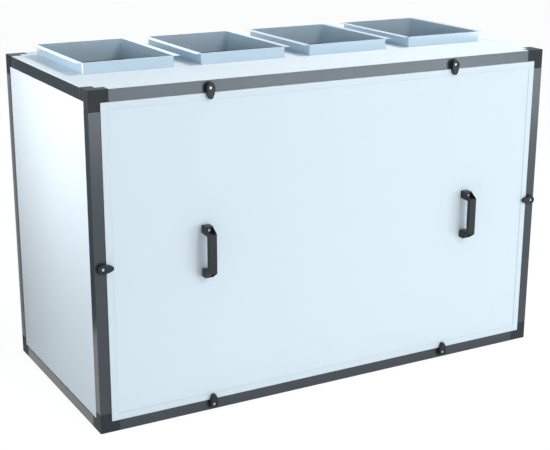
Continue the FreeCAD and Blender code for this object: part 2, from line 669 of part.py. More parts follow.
# ---- filters -----------------------------------------------------------------------------------
def filter_frame():
    """Open rim of the left filter cassette."""
    z = (FILTER_BASE_Z, FILTER_BASE_Z + FILTER_HEIGHT)
    rim = FILTER_RIM
    outer = block((-FILTER_OUTER_X, -FILTER_INNER_X), (FILTER_FRONT, FILTER_BACK), z)
    inner = block((-FILTER_OUTER_X + rim, -FILTER_INNER_X - rim), (FILTER_FRONT + rim, FILTER_BACK - rim),
                  (z[0] - 1, z[1] + 1))
    return outer.cut(inner)


def filter_media():
    """Pleated sheet inside the rim, folded along the depth."""
    left, right = -FILTER_OUTER_X + FILTER_RIM + 0.2, -FILTER_INNER_X - FILTER_RIM - 0.2
    low, high = FILTER_BASE_Z + 6, FILTER_BASE_Z + FILTER_HEIGHT - 8
    step = (right - left) / (2 * FILTER_PLEATS)
    thickness = 2.0
    edge = [(left + step * index, high if index % 2 else low) for index in range(2 * FILTER_PLEATS + 1)]
    outline = edge + [(x, z + thickness) for x, z in reversed(edge)]
    y = (FILTER_FRONT + FILTER_RIM + 0.2, FILTER_BACK - FILTER_RIM - 0.2)
    return prism([(x, y[0], z) for x, z in outline], Vector(0, y[1] - y[0], 0))


def filter_rails():
    """Four angles that carry the cassettes on the walls and on the dividers."""
    y = (-OPEN_Y + LIP_LENGTH, OPEN_Y - LIP_LENGTH)
    shelf = (FILTER_BASE_Z - FREE_CLEARANCE - PLATE, FILTER_BASE_Z - FREE_CLEARANCE)
    wall = (shelf[0] - 25, shelf[1])
    inner_wall, divider = -HALF_X + LIP_DEPTH, -PARTITION_X - PLATE
    outer = block((inner_wall, -FILTER_OUTER_X + 12), y, shelf).fuse(
        block((inner_wall, inner_wall + PLATE), y, wall)).removeSplitter()
    inner = block((-FILTER_INNER_X - 12, divider), y, shelf).fuse(
        block((divider - PLATE, divider), y, wall)).removeSplitter()
    return [outer, inner, mirrored_x(outer), mirrored_x(inner)]


# ---- control box -------------------------------------------------------------------------------
BOX_X, BOX_Y, BOX_Z = (36.0, 346.0), (-326.0, -230.0), (DECK_Z + PLATE, 968.0)


def control_box():
    inset = PLATE
    shell = block(BOX_X, BOX_Y, BOX_Z)
    inner = block((BOX_X[0] + inset, BOX_X[1] - inset), (BOX_Y[0] - 1, BOX_Y[1] - inset),
                  (BOX_Z[0] + inset, BOX_Z[1] - inset))
    return shell.cut(inner)


def control_lid():
    return block((BOX_X[0] - 1, BOX_X[1] + 1), (BOX_Y[0] - PLATE, BOX_Y[0]), (BOX_Z[0] + 0.5, BOX_Z[1] + 1))


def circuit_board():
    """Board on the back wall of the box, with a terminal strip and three tall components."""
    face = BOX_Y[1] - PLATE - 8
    board = block((BOX_X[0] + 20, BOX_X[1] - 20), (face - 1.6, face), (BOX_Z[0] + 25, BOX_Z[1] - 15))
    standoffs = [block((x, x + 8), (face, face + 8), (z, z + 8))
                 for x in (BOX_X[0] + 24, BOX_X[1] - 32) for z in (BOX_Z[0] + 30, BOX_Z[1] - 28)]
    front = face - 1.6
    strip = block((BOX_X[0] + 40, BOX_X[1] - 60), (front - 14, front), (BOX_Z[0] + 30, BOX_Z[0] + 42))
    tall = [block((x, x + 30), (front - 24, front), (BOX_Z[0] + 65, BOX_Z[0] + 95)) for x in (90, 150, 250)]
    return board.fuse(standoffs + [strip] + tall).removeSplitter()


# ---- bypass ------------------------------------------------------------------------------------
def on_slope(shape):
    """Turns a shape built flat (X along the slope, Z outwards) onto the upper left exchanger face."""
    shape.rotate(Vector(0, 0, 0), BACKWARD, -45)
    shape.translate(Vector(0, 0, EXCHANGER_CENTRE_Z))
    return shape


BYPASS_NEAR = EXCHANGER_SIDE / 2 + EXCHANGER_OVERHANG
BYPASS_AXIS = BYPASS_NEAR + 8.0
BYPASS_Y = (EXCHANGER_BACK + 1, OPEN_Y + 1)
COLLAR_X = BYPASS_BLADE_HALF_LENGTH + 4
COLLAR_Y = BYPASS_BLADE_HALF_WIDTH + 2


def bypass_duct():
    """Two closing walls behind the exchanger and the collar around the damper blade."""
    half = BYPASS_NEAR - 2
    plate = block((-half, half), BYPASS_Y, (BYPASS_NEAR - PLATE, BYPASS_NEAR))
    walls = []
    for turn in (90, -90):
        wall = on_slope(plate.copy())
        wall.rotate(Vector(0, 0, EXCHANGER_CENTRE_Z), BACKWARD, turn)
        walls.append(wall)
    y = (BYPASS_CENTRE_Y - COLLAR_Y, BYPASS_CENTRE_Y + COLLAR_Y)
    collar = block((-COLLAR_X - PLATE, COLLAR_X + PLATE), (y[0] - PLATE, y[1] + PLATE),
                   (BYPASS_NEAR - PLATE, BYPASS_AXIS + 6))
    opening = block((-COLLAR_X, COLLAR_X), y, (BYPASS_NEAR - 5, BYPASS_AXIS + 10))
    shaft_start = Vector(-COLLAR_X - 5, BYPASS_CENTRE_Y, BYPASS_AXIS)
    shaft_hole = rod(BYPASS_SHAFT_RADIUS + PIVOT_CLEARANCE, shaft_start, -LEFT, 2 * COLLAR_X + 10)
    frame = plate.fuse(collar).cut(opening).cut(shaft_hole).removeSplitter()
    return walls + [on_slope(frame)]


def bypass_blade():
    """Damper blade on its shaft; the shaft runs on into the actuator."""
    x, y = BYPASS_BLADE_HALF_LENGTH, BYPASS_BLADE_HALF_WIDTH
    plate = block((-x, x), (BYPASS_CENTRE_Y - y, BYPASS_CENTRE_Y + y), (BYPASS_AXIS - 1, BYPASS_AXIS + 1))
    shaft = rod(BYPASS_SHAFT_RADIUS, Vector(-x - 38, BYPASS_CENTRE_Y, BYPASS_AXIS), -LEFT, 2 * x + 44)
    return on_slope(plate.fuse(shaft).removeSplitter())


def bypass_actuator():
    start = -COLLAR_X - PLATE - 2
    y = (BYPASS_CENTRE_Y - ACTUATOR_WIDTH / 2, BYPASS_CENTRE_Y + ACTUATOR_WIDTH / 2)
    body = block((start - ACTUATOR_LENGTH, start), y, (BYPASS_NEAR + 0.5, BYPASS_NEAR + ACTUATOR_HEIGHT))
    bore = rod(BYPASS_SHAFT_RADIUS + PIVOT_CLEARANCE,
               Vector(start - ACTUATOR_LENGTH + 2, BYPASS_CENTRE_Y, BYPASS_AXIS), -LEFT, ACTUATOR_LENGTH + 2)
    return on_slope(body.cut(bore))


# ---- cable glands ------------------------------------------------------------------------------
def cable_gland(x):
    """Hexagon, dome nut and threaded neck, with a through bore for the cable."""
    skin = HALF_Y - PANEL_INSET
    corners = [(x + GLAND_HEXAGON * math.cos(math.radians(a)), skin,
                GLAND_Z + GLAND_HEXAGON * math.sin(math.radians(a))) for a in range(0, 360, 60)]
    neck_start = Vector(x, HALF_Y - LIP_DEPTH - 8, GLAND_Z)
    nut_start = Vector(x, skin + GLAND_HEXAGON_LENGTH, GLAND_Z)
    body = prism(corners, Vector(0, GLAND_HEXAGON_LENGTH, 0))
    body = body.fuse([rod(GLAND_NUT_RADIUS, nut_start, BACKWARD, GLAND_NUT_LENGTH),
                      rod(GLAND_DOME_RADIUS, nut_start + BACKWARD * GLAND_NUT_LENGTH, BACKWARD,
                          GLAND_DOME_LENGTH),
                      rod(GLAND_RADIUS, neck_start, BACKWARD, skin - neck_start.y + 1)])
    end = skin + GLAND_HEXAGON_LENGTH + GLAND_NUT_LENGTH + GLAND_DOME_LENGTH
    return body.removeSplitter().cut(rod(GLAND_BORE, neck_start, BACKWARD, end - neck_start.y))


# ---- all nodes ---------------------------------------------------------------------------------
def build():
    os.makedirs("parts", exist_ok=True)
    save("frame_width_rails", *width_rails())
    save("frame_depth_rails", *depth_rails())
    save("frame_uprights", *uprights())
    save("bottom_corner_pieces", *bottom_corners())
    save("top_corner_pieces", *top_corners())

    liner = LIP_DEPTH - SHEET
    core = PANEL_INSET + SHEET
    save("top_outer_sheet", top_sheet())
    save("top_insulation", roof_layer((FRAME_HEIGHT - liner, FRAME_HEIGHT)))
    save("top_liner", roof_layer((FRAME_HEIGHT - LIP_DEPTH, FRAME_HEIGHT - liner)))
    save("left_side_panel", side_layer(PANEL_INSET, core))
    save("right_side_panel", mirrored_x(side_layer(PANEL_INSET, core)))
    save("back_panel", back_layer(PANEL_INSET, core))
    save("bottom_panel", floor_layer(PANEL_INSET, core))
    save("back_insulation", back_layer(core, liner))
    save("back_liner", back_layer(liner, LIP_DEPTH))
    save("wall_insulation", side_layer(core, liner), mirrored_x(side_layer(core, liner)),
         floor_layer(core, liner))
    save("wall_liners", side_layer(liner, LIP_DEPTH), mirrored_x(side_layer(liner, LIP_DEPTH)),
         floor_layer(liner, LIP_DEPTH))

    sheet_back, liner_front = DOOR_FACE + SHEET, DOOR_BACK - SHEET
    save("door_outer_sheet", cut_all(door_slab((DOOR_FACE, sheet_back)), handle_holes()))
    save("door_insulation", cut_all(door_slab((sheet_back, liner_front)), handle_holes()))
    save("door_inner_sheet", door_slab((liner_front, DOOR_BACK)))
    save("door_edge_trim", *door_trim())
    save("door_gasket", door_gasket())
    for name, (x, z) in HANDLE_PLACES.items():
        save(name, handle(x, z))
    save("handle_screws", *handle_screws())
    for name, (x, z, tip) in clamp_places().items():
        save(name, clamp_lever(x, z, tip))
    save("clamp_spacers", *clamp_spacers())
    save("clamp_screws", *clamp_screws())
    for name, x in zip(SPIGOT_NAMES, SPIGOT_CENTRES):
        save(name, spigot(x))

    save("exchanger_plates", *exchanger_foils())
    save("exchanger_frame", *exchanger_frame())
    save("exchanger_seals", *exchanger_seals())
    save("inner_partitions", side_partition(), mirrored_x(side_partition()), centre_partition())
    save("fan_deck", fan_deck())
    save("drip_tray", drip_tray())
    save("drain_stub", drain_stub())
    save("fan_nozzles", *[inlet_nozzle(x) for x in FAN_CENTRES])
    save("supply_fan_impeller", impeller(FAN_CENTRES[0], 1))
    save("exhaust_fan_impeller", impeller(FAN_CENTRES[1], -1))
    save("fan_brackets", *[fan_bracket(x) for x in FAN_CENTRES])
    save("fan_stators", *[fan_stator(x) for x in FAN_CENTRES])
    save("extract_filter_frame", filter_frame())
    save("extract_filter_media", filter_media())
    save("outdoor_filter_frame", mirrored_x(filter_frame()))
    save("outdoor_filter_media", mirrored_x(filter_media()))
    save("filter_rails", *filter_rails())
    save("control_box", control_box())
    save("control_box_lid", control_lid())
    save("circuit_board", circuit_board())
    save("bypass_duct", *bypass_duct())
    save("bypass_blade", bypass_blade())
    save("bypass_actuator", bypass_actuator())
    save("cable_glands", *[cable_gland(x) for x in GLAND_PLACES])


build()
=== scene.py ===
"""Finishes and finely shaped pieces of a ventilation unit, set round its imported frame."""
import json
import logging
import math
from dataclasses import dataclass, field
from enum import Enum
from typing import Iterable, Sequence

import bmesh
import bpy
from mathutils import Matrix, Vector


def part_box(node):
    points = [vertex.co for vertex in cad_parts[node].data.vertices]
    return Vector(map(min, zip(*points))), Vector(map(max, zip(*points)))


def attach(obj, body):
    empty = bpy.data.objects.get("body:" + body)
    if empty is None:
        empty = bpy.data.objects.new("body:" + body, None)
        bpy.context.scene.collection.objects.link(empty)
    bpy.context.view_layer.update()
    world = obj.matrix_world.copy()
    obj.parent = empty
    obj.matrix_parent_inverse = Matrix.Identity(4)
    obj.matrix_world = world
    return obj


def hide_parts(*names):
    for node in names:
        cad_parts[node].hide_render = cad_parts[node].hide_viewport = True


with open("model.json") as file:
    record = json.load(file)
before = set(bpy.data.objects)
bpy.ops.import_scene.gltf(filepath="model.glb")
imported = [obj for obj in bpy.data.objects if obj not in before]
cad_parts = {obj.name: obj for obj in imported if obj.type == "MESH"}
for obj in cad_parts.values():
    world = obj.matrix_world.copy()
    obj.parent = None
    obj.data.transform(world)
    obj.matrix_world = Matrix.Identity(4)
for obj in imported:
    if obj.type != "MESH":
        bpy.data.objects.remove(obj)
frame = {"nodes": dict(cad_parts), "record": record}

LOG = logging.getLogger("ventilation_unit")
MM = 0.001
AXIS_X, AXIS_Y, AXIS_Z = Vector((1, 0, 0)), Vector((0, 1, 0)), Vector((0, 0, 1))
OUTWARD = -AXIS_Y
CASING, DOOR = "casing", "service_panel"
HANDLES = ("left_handle", "right_handle")
AIRWAYS = ("extract", "supply", "exhaust", "outdoor")

MERGE_DISTANCE = 0.002 * MM
LEVEL_ANGLE = math.radians(1)
SHARP_ANGLE = math.radians(35)
RIM_ANGLE = math.radians(40)
CREASE_ANGLE = math.radians(50)

WHITE = (1.0, 1.0, 1.0, 1.0)
MIX_FACTOR, MIX_FIRST, MIX_SECOND, MIX_RESULT = 0, 6, 7, 2
ROUGHNESS_DRIFT = 0.12
CLOUD_OCTAVES = 4.0
BRUSH_STRETCH = (0.04, 1.0, 1.0)

Colour = tuple[float, float, float]
Opaque = tuple[float, float, float, float]
Point = tuple[float, float, float]
Nodes = bpy.types.Nodes
Links = bpy.types.NodeLinks
Socket = bpy.types.NodeSocket


class Slot(Enum):
    """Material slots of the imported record."""

    FRAME = "frame_coating"
    CORNER = "corner_coating"
    PANEL = "panel_coating"
    TRIM = "trim_coating"
    GALVANISED = "galvanised_sheet"
    SPIGOT = "spigot_sheet"
    WOOL = "insulation_wool"
    RUBBER = "gasket_rubber"
    GRIP = "grip_plastic"
    ZINC = "zinc_steel"
    FOIL = "aluminium_foil"
    STAINLESS = "stainless_tray"
    WHEEL = "wheel_plastic"
    MOTOR = "motor_black"
    CARD = "filter_card"
    FLEECE = "filter_fleece"
    BOARD = "board_green"


class Relief(Enum):
    """Small surface relief of a finish."""

    POWDER = "powder"
    MOULDED = "moulded"
    SPANGLED = "spangled"
    BRUSHED = "brushed"
    FIBROUS = "fibrous"
    FOAMED = "foamed"


OCTAVES = {Relief.POWDER: 2.0, Relief.BRUSHED: 3.0, Relief.FIBROUS: 8.0}


@dataclass(frozen=True)
class Finish:
    """One finish, made of shader nodes on Object coordinates.

    Attributes:
        slot: The record's slot that wears this finish.
        colour: Base colour, linear.
        roughness: Middle roughness.
        relief: Kind of small relief.
        grain: Size of the relief's grain in metres.
        depth: Height of the relief in metres.
        metallic: Metal share of the shader.
        spread: Share by which the colour drifts lighter and darker.
        drift: Size of the colour drift in metres.
        coat: Weight of a clear coat.
        gloss: Strength of the plain reflection, 0.5 for most materials.
    """

    slot: Slot
    colour: Colour
    roughness: float
    relief: Relief
    grain: float
    depth: float
    metallic: float = 0.0
    spread: float = 0.02
    drift: float = 0.25
    coat: float = 0.0
    gloss: float = 0.5

    def shade(self, share: float) -> Opaque:
        """Scales the base colour.

        Args:
            share: Factor for each part of the colour.

        Returns:
            The scaled colour with full opacity.
        """
        red, green, blue = (min(1.0, part * share) for part in self.colour)
        return red, green, blue, 1.0

    def material(self) -> bpy.types.Material:
        """Builds the material.

        Returns:
            A node material with colour drift, uneven roughness and relief.
        """
        made = bpy.data.materials.new(self.slot.value)
        made.use_nodes = True
        made.diffuse_color = self.shade(1.0)
        nodes, links = made.node_tree.nodes, made.node_tree.links
        shader = nodes["Principled BSDF"]
        shader.inputs["Metallic"].default_value = self.metallic
        shader.inputs["Coat Weight"].default_value = self.coat
        shader.inputs["Specular IOR Level"].default_value = self.gloss
        place = nodes.new("ShaderNodeTexCoord").outputs["Object"]
        cloud = self.noise(nodes, links, place, 1 / self.drift, CLOUD_OCTAVES)
        tone = nodes.new("ShaderNodeMix")
        tone.data_type = "RGBA"
        tone.inputs[MIX_FIRST].default_value = self.shade(1 - self.spread)
        tone.inputs[MIX_SECOND].default_value = self.shade(1 + self.spread)
        height = self.height(nodes, links, place)
        source = height if self.relief is Relief.SPANGLED else cloud
        links.new(source, tone.inputs[MIX_FACTOR])
        links.new(tone.outputs[MIX_RESULT], shader.inputs["Base Color"])
        sheen = nodes.new("ShaderNodeMapRange")
        sheen.inputs["To Min"].default_value = self.roughness * (1 - ROUGHNESS_DRIFT)
        sheen.inputs["To Max"].default_value = self.roughness * (1 + ROUGHNESS_DRIFT)
        links.new(source, sheen.inputs["Value"])
        links.new(sheen.outputs["Result"], shader.inputs["Roughness"])
        bump = nodes.new("ShaderNodeBump")
        bump.inputs["Strength"].default_value = 1.0
        bump.inputs["Distance"].default_value = self.depth
        links.new(height, bump.inputs["Height"])
        links.new(bump.outputs["Normal"], shader.inputs["Normal"])
        return made

    def noise(self, nodes: Nodes, links: Links, place: Socket, scale: float,
              detail: float) -> Socket:
        """Adds a noise texture.

        Args:
            nodes: The material's nodes.
            links: The material's links.
            place: Coordinates to read.
            scale: Repeats per metre.
            detail: Octaves.

        Returns:
            The noise's grey output.
        """
        cloud = nodes.new("ShaderNodeTexNoise")
        cloud.inputs["Scale"].default_value = scale
        cloud.inputs["Detail"].default_value = detail
        links.new(place, cloud.inputs["Vector"])
        return cloud.outputs["Fac"]

    def height(self, nodes: Nodes, links: Links, place: Socket) -> Socket:
        """Adds the relief's texture.

        Args:
            nodes: The material's nodes.
            links: The material's links.
            place: Coordinates to read.

        Returns:
            The relief's height from 0 to 1.
        """
        if self.relief is Relief.BRUSHED:
            turn = nodes.new("ShaderNodeMapping")
            turn.inputs["Scale"].default_value = BRUSH_STRETCH
            links.new(place, turn.inputs["Vector"])
            place = turn.outputs["Vector"]
        if self.relief in OCTAVES:
            return self.noise(nodes, links, place, 1 / self.grain, OCTAVES[self.relief])
        cells = nodes.new("ShaderNodeTexVoronoi")
        cells.inputs["Scale"].default_value = 1 / self.grain
        links.new(place, cells.inputs["Vector"])
        if self.relief is Relief.SPANGLED:
            parts = nodes.new("ShaderNodeSeparateColor")
            links.new(cells.outputs["Color"], parts.inputs["Color"])
            return parts.outputs["Red"]
        return cells.outputs["Distance"]


FINISHES = (
    Finish(Slot.FRAME, (0.046, 0.055, 0.063), 0.25, Relief.POWDER, 0.0009, 0.000006,
           spread=0.08, gloss=0.42),
    Finish(Slot.CORNER, (0.019, 0.024, 0.028), 0.60, Relief.MOULDED, 0.0007, 0.00002,
           spread=0.06, gloss=0.30),
    Finish(Slot.PANEL, (0.755, 0.818, 0.858), 0.60, Relief.POWDER, 0.0012, 0.00002,
           spread=0.006, gloss=0.2),
    Finish(Slot.TRIM, (0.735, 0.800, 0.842), 0.55, Relief.POWDER, 0.0010, 0.00002,
           spread=0.006, gloss=0.25),
    Finish(Slot.GALVANISED, (0.50, 0.53, 0.55), 0.38, Relief.SPANGLED, 0.009, 0.000004,
           metallic=0.85, spread=0.10),
    Finish(Slot.SPIGOT, (0.575, 0.705, 0.800), 0.34, Relief.POWDER, 0.0010, 0.00001,
           metallic=0.45),
    Finish(Slot.WOOL, (0.62, 0.50, 0.22), 0.95, Relief.FIBROUS, 0.006, 0.0012,
           spread=0.20, drift=0.02),
    Finish(Slot.RUBBER, (0.020, 0.022, 0.024), 0.75, Relief.FOAMED, 0.0012, 0.00020,
           spread=0.15, drift=0.02),
    Finish(Slot.GRIP, (0.012, 0.015, 0.018), 0.42, Relief.MOULDED, 0.0006, 0.00002,
           spread=0.08, drift=0.03, gloss=0.32),
    Finish(Slot.ZINC, (0.44, 0.50, 0.55), 0.40, Relief.BRUSHED, 0.0006, 0.00001,
           metallic=1.0, spread=0.06, drift=0.01),
    Finish(Slot.FOIL, (0.72, 0.74, 0.75), 0.30, Relief.BRUSHED, 0.0015, 0.00001,
           metallic=0.9, spread=0.04),
    Finish(Slot.STAINLESS, (0.50, 0.51, 0.51), 0.30, Relief.BRUSHED, 0.0008, 0.00001,
           metallic=0.95, spread=0.05),
    Finish(Slot.WHEEL, (0.045, 0.052, 0.060), 0.50, Relief.MOULDED, 0.0010, 0.00003,
           spread=0.08, drift=0.05),
    Finish(Slot.MOTOR, (0.014, 0.015, 0.017), 0.42, Relief.MOULDED, 0.0008, 0.00003,
           spread=0.10, drift=0.02),
    Finish(Slot.CARD, (0.78, 0.76, 0.70), 0.80, Relief.FIBROUS, 0.003, 0.00010,
           spread=0.04, drift=0.05),
    Finish(Slot.FLEECE, (0.86, 0.86, 0.83), 0.95, Relief.FIBROUS, 0.002, 0.00040,
           spread=0.06, drift=0.01),
    Finish(Slot.BOARD, (0.014, 0.150, 0.045), 0.35, Relief.POWDER, 0.0030, 0.00003,
           spread=0.10, drift=0.01, coat=0.4),
)


class Wardrobe:
    """Keeps one material per slot and dresses pieces in it."""

    def __init__(self, finishes: Iterable[Finish]) -> None:
        """Builds the materials.

        Args:
            finishes: One finish per slot.
        """
        self.materials = {finish.slot: finish.material() for finish in finishes}

    def dress(self, thing: bpy.types.Object, slot: Slot) -> None:
        """Puts a slot's material on a piece as its only one.

        Args:
            thing: The piece.
            slot: Slot whose material it gets.
        """
        thing.data.materials.clear()
        thing.data.materials.append(self.materials[slot])

    def dress_node(self, node: str, slot: Slot) -> None:
        """Puts a slot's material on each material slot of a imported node.

        Args:
            node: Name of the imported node.
            slot: Slot whose material it gets.
        """
        for entry in frame["nodes"][node].material_slots:
            entry.material = self.materials[slot]


class Bench:
    """One bmesh in the making, with the operators that every piece uses."""

    def __init__(self) -> None:
        """Starts with nothing on the bench."""
        self.mesh = bmesh.new()

    def cube(self, low: Sequence[float], high: Sequence[float]) -> set[bmesh.types.BMEdge]:
        """Adds a box with sharp edges.

        Args:
            low: Lowest corner.
            high: Highest corner.

        Returns:
            The edges of the box.
        """
        low, high = Vector(low), Vector(high)
        matrix = Matrix.Translation((low + high) / 2) @ Matrix.Diagonal((*(high - low), 1.0))
        verts = bmesh.ops.create_cube(self.mesh, size=1.0, matrix=matrix)["verts"]
        return {line for vert in verts for line in vert.link_edges}

    def block(self, low: Sequence[float], high: Sequence[float], edge: float = 0.0,
              segments: int = 2) -> None:
        """Adds a box with rounded edges.

        Args:
            low: Lowest corner.
            high: Highest corner.
            edge: Radius of its edges.
            segments: Facets in each rounded edge.
        """
        lines = self.cube(low, high)
        if edge > 0:
            self.round_edges(lines, edge, segments)

    def post(self, low: Sequence[float], high: Sequence[float], bend: float,
             segments: int = 6) -> None:
        """Adds a box whose upright edges are rounded.

        Args:
            low: Lowest corner.
            high: Highest corner.
            bend: Radius of the upright edges.
            segments: Facets in each rounded edge.
        """
        upright = {line for line in self.cube(low, high)
                   if abs(line.verts[0].co.z - line.verts[1].co.z) > MM}
        self.round_edges(upright, bend, segments)

    def barrel(self, start: Vector, along: Vector, radius: float, length: float,
               edge: float = 0.0, facets: int = 48, tip: float | None = None) -> None:
        """Adds a closed cylinder or cone.

        Args:
            start: Middle of its first end.
            along: Direction of its axis.
            radius: Radius at the first end.
            length: Length along the axis.
            edge: Radius of the rim at both ends.
            facets: Facets round it.
            tip: Radius at the far end, the same if left out.
        """
        turn = along.normalized().to_track_quat("Z", "Y").to_matrix().to_4x4()
        matrix = Matrix.Translation(start + along.normalized() * length / 2) @ turn
        verts = bmesh.ops.create_cone(self.mesh, cap_ends=True, segments=facets, radius1=radius,
                                      radius2=radius if tip is None else tip, depth=length,
                                      matrix=matrix)["verts"]
        if edge > 0:
            rims = {line for vert in verts for line in vert.link_edges
                    if any(len(face.verts) > 4 for face in line.link_faces)}
            self.round_edges(rims, edge, 2)

    def prism(self, outline: Sequence[Vector], along: Vector, edge: float = 0.0,
              segments: int = 2) -> None:
        """Adds a flat outline extruded along a vector, with rounded edges.

        Args:
            outline: Corners of the outline.
            along: Vector of the extrusion.
            edge: Radius of its edges.
            segments: Facets in each rounded edge.
        """
        face = self.mesh.faces.new([self.mesh.verts.new(point) for point in outline])
        moved = bmesh.ops.extrude_face_region(self.mesh, geom=[face], use_keep_orig=True)["geom"]
        verts = [item for item in moved if isinstance(item, bmesh.types.BMVert)]
        bmesh.ops.translate(self.mesh, verts=verts, vec=along)
        faces = {face for vert in verts for face in vert.link_faces} | {face}
        bmesh.ops.recalc_face_normals(self.mesh, faces=list(faces))
        if edge > 0:
            self.round_edges({line for item in faces for line in item.edges}, edge, segments)

    def round_edges(self, edges: Iterable[bmesh.types.BMEdge], radius: float,
                    segments: int) -> None:
        """Rounds edges with the bevel operator.

        Args:
            edges: The edges.
            radius: Radius of the rounding.
            segments: Facets in each rounded edge.
        """
        bmesh.ops.bevel(self.mesh, geom=list(edges), offset=radius, offset_type="OFFSET",
                        segments=segments, profile=0.5, affect="EDGES", material=-1,
                        clamp_overlap=True)

    def copy_node(self, node: str, radius: float, segments: int = 2) -> None:
        """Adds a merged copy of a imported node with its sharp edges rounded.

        Args:
            node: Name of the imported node.
            radius: Radius of its edges.
            segments: Facets in each rounded edge.
        """
        self.mesh.from_mesh(frame["nodes"][node].data)
        bmesh.ops.remove_doubles(self.mesh, verts=self.mesh.verts[:], dist=MERGE_DISTANCE)
        bmesh.ops.dissolve_limit(self.mesh, angle_limit=LEVEL_ANGLE, verts=self.mesh.verts[:],
                                 edges=self.mesh.edges[:])
        sharp = [line for line in self.mesh.edges
                 if len(line.link_faces) == 2 and line.calc_face_angle(0.0) > SHARP_ANGLE]
        self.round_edges(sharp, radius, segments)

    def lift(self, name: str) -> bpy.types.Object:
        """Takes the mesh off the bench.

        Args:
            name: Name of the new object.

        Returns:
            The object, with its origin at the frame's.
        """
        data = bpy.data.meshes.new(name)
        self.mesh.to_mesh(data)
        self.mesh.free()
        if "custom_normal" in data.attributes:
            data.attributes.remove(data.attributes["custom_normal"])
        made = bpy.data.objects.new(name, data)
        bpy.context.collection.objects.link(made)
        return made


def carve(target: bpy.types.Object, cutter: bpy.types.Object) -> None:
    """Cuts one object out of another and removes the cutter.

    Args:
        target: The object that is cut.
        cutter: The object whose shape is taken out.
    """
    change = target.modifiers.new("carve", "BOOLEAN")
    change.operation = "DIFFERENCE"
    change.solver = "EXACT"
    change.object = cutter
    view = bpy.context.evaluated_depsgraph_get()
    result = bpy.data.meshes.new_from_object(target.evaluated_get(view))
    target.modifiers.clear()
    target.data = result
    bpy.data.objects.remove(cutter)


def box_of(node: str) -> tuple[Vector, Vector]:
    """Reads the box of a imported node.

    Args:
        node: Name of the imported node.

    Returns:
        Its lowest and highest corners.
    """
    low, high = (Vector(corner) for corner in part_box(node))
    return low, high


@dataclass
class Fitter:
    """Finishes pieces: smooth shading, material, body and the nodes they stand for."""

    wardrobe: Wardrobe
    replaced: set[str] = field(default_factory=set)
    facet: float = 4 * MM

    def is_narrow(self, data: bpy.types.Mesh, face: bpy.types.MeshPolygon) -> bool:
        """Tells the facets of a rounding from flat faces, which keep their flat shading.

        Args:
            data: The piece's mesh.
            face: One of its faces.

        Returns:
            Whether the face is a facet of a rounding.
        """
        corners = [data.vertices[index].co for index in face.vertices]
        longest = max((after - before).length
                      for before, after in zip(corners, corners[1:] + corners[:1]))
        return face.area < longest * self.facet

    def fit(self, piece: bpy.types.Object, slot: Slot, body: str, nodes: Sequence[str] = (),
            rim: float = 0.0) -> bpy.types.Object:
        """Finishes one piece.

        Args:
            piece: The piece.
            slot: Slot whose finish it wears.
            body: Body that it rides on.
            nodes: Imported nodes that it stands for.
            rim: Radius of a last rounding of edges left sharp.

        Returns:
            The finished piece.
        """
        if rim > 0:
            bevel = piece.modifiers.new("rim", "BEVEL")
            bevel.width = rim
            bevel.segments = 2
            bevel.limit_method = "ANGLE"
            bevel.angle_limit = RIM_ANGLE
        piece.data.set_sharp_from_angle(angle=CREASE_ANGLE)
        for face in piece.data.polygons:
            face.use_smooth = self.is_narrow(piece.data, face)
        weighted = piece.modifiers.new("normals", "WEIGHTED_NORMAL")
        weighted.keep_sharp = True
        self.wardrobe.dress(piece, slot)
        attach(piece, body)
        if nodes:
            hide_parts(*nodes)
            self.replaced.update(nodes)
        LOG.info("%s rides on %s", piece.name, body)
        return piece


@dataclass
class SoftenedNodes:
    """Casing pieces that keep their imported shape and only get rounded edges."""

    fitter: Fitter
    edges: dict[str, tuple[Slot, str, float]] = field(default_factory=lambda: {
        "frame_width_rails": (Slot.FRAME, CASING, 0.9 * MM),
        "frame_depth_rails": (Slot.FRAME, CASING, 0.9 * MM),
        "frame_uprights": (Slot.FRAME, CASING, 0.9 * MM),
        "bottom_corner_pieces": (Slot.CORNER, CASING, 1.6 * MM),
        "top_corner_pieces": (Slot.CORNER, CASING, 0.9 * MM),
        "door_edge_trim": (Slot.TRIM, DOOR, 0.4 * MM),
        "door_outer_sheet": (Slot.PANEL, DOOR, 0.3 * MM),
        "left_side_panel": (Slot.PANEL, CASING, 0.4 * MM),
        "right_side_panel": (Slot.PANEL, CASING, 0.4 * MM),
        "back_panel": (Slot.PANEL, CASING, 0.4 * MM),
        "top_outer_sheet": (Slot.PANEL, CASING, 0.4 * MM),
    })

    def build(self) -> None:
        """Builds one rounded copy per node."""
        for node, (slot, body, radius) in self.edges.items():
            bench = Bench()
            bench.copy_node(node, radius)
            self.fitter.fit(bench.lift(node + "_rounded"), slot, body, [node])


@dataclass
class TopSheetHem:
    """Narrow hem folded over along the edges of the top sheet."""

    fitter: Fitter
    width: float = 30 * MM
    thickness: float = 0.4 * MM
    tab: float = 61 * MM
    setback: float = 1 * MM
    sunk: float = 0.5 * MM

    def build(self) -> None:
        """Lays four strips between the corner tabs."""
        high = box_of("top_outer_sheet")[1]
        floor, top = high.z - self.sunk, high.z + self.thickness
        reach_x, reach_y = high.x - self.tab, high.y - self.tab
        edge = self.thickness / 3
        bench = Bench()
        for sign in (1, -1):
            y_low, y_high = sorted((sign * (high.y - self.setback), sign * (high.y - self.width)))
            x_low, x_high = sorted((sign * (high.x - self.setback), sign * (high.x - self.width)))
            bench.block((-reach_x, y_low, floor), (reach_x, y_high, top), edge, 1)
            bench.block((x_low, -reach_y, floor), (x_high, reach_y, top), edge, 1)
        self.fitter.fit(bench.lift("top_sheet_hem"), Slot.PANEL, CASING)


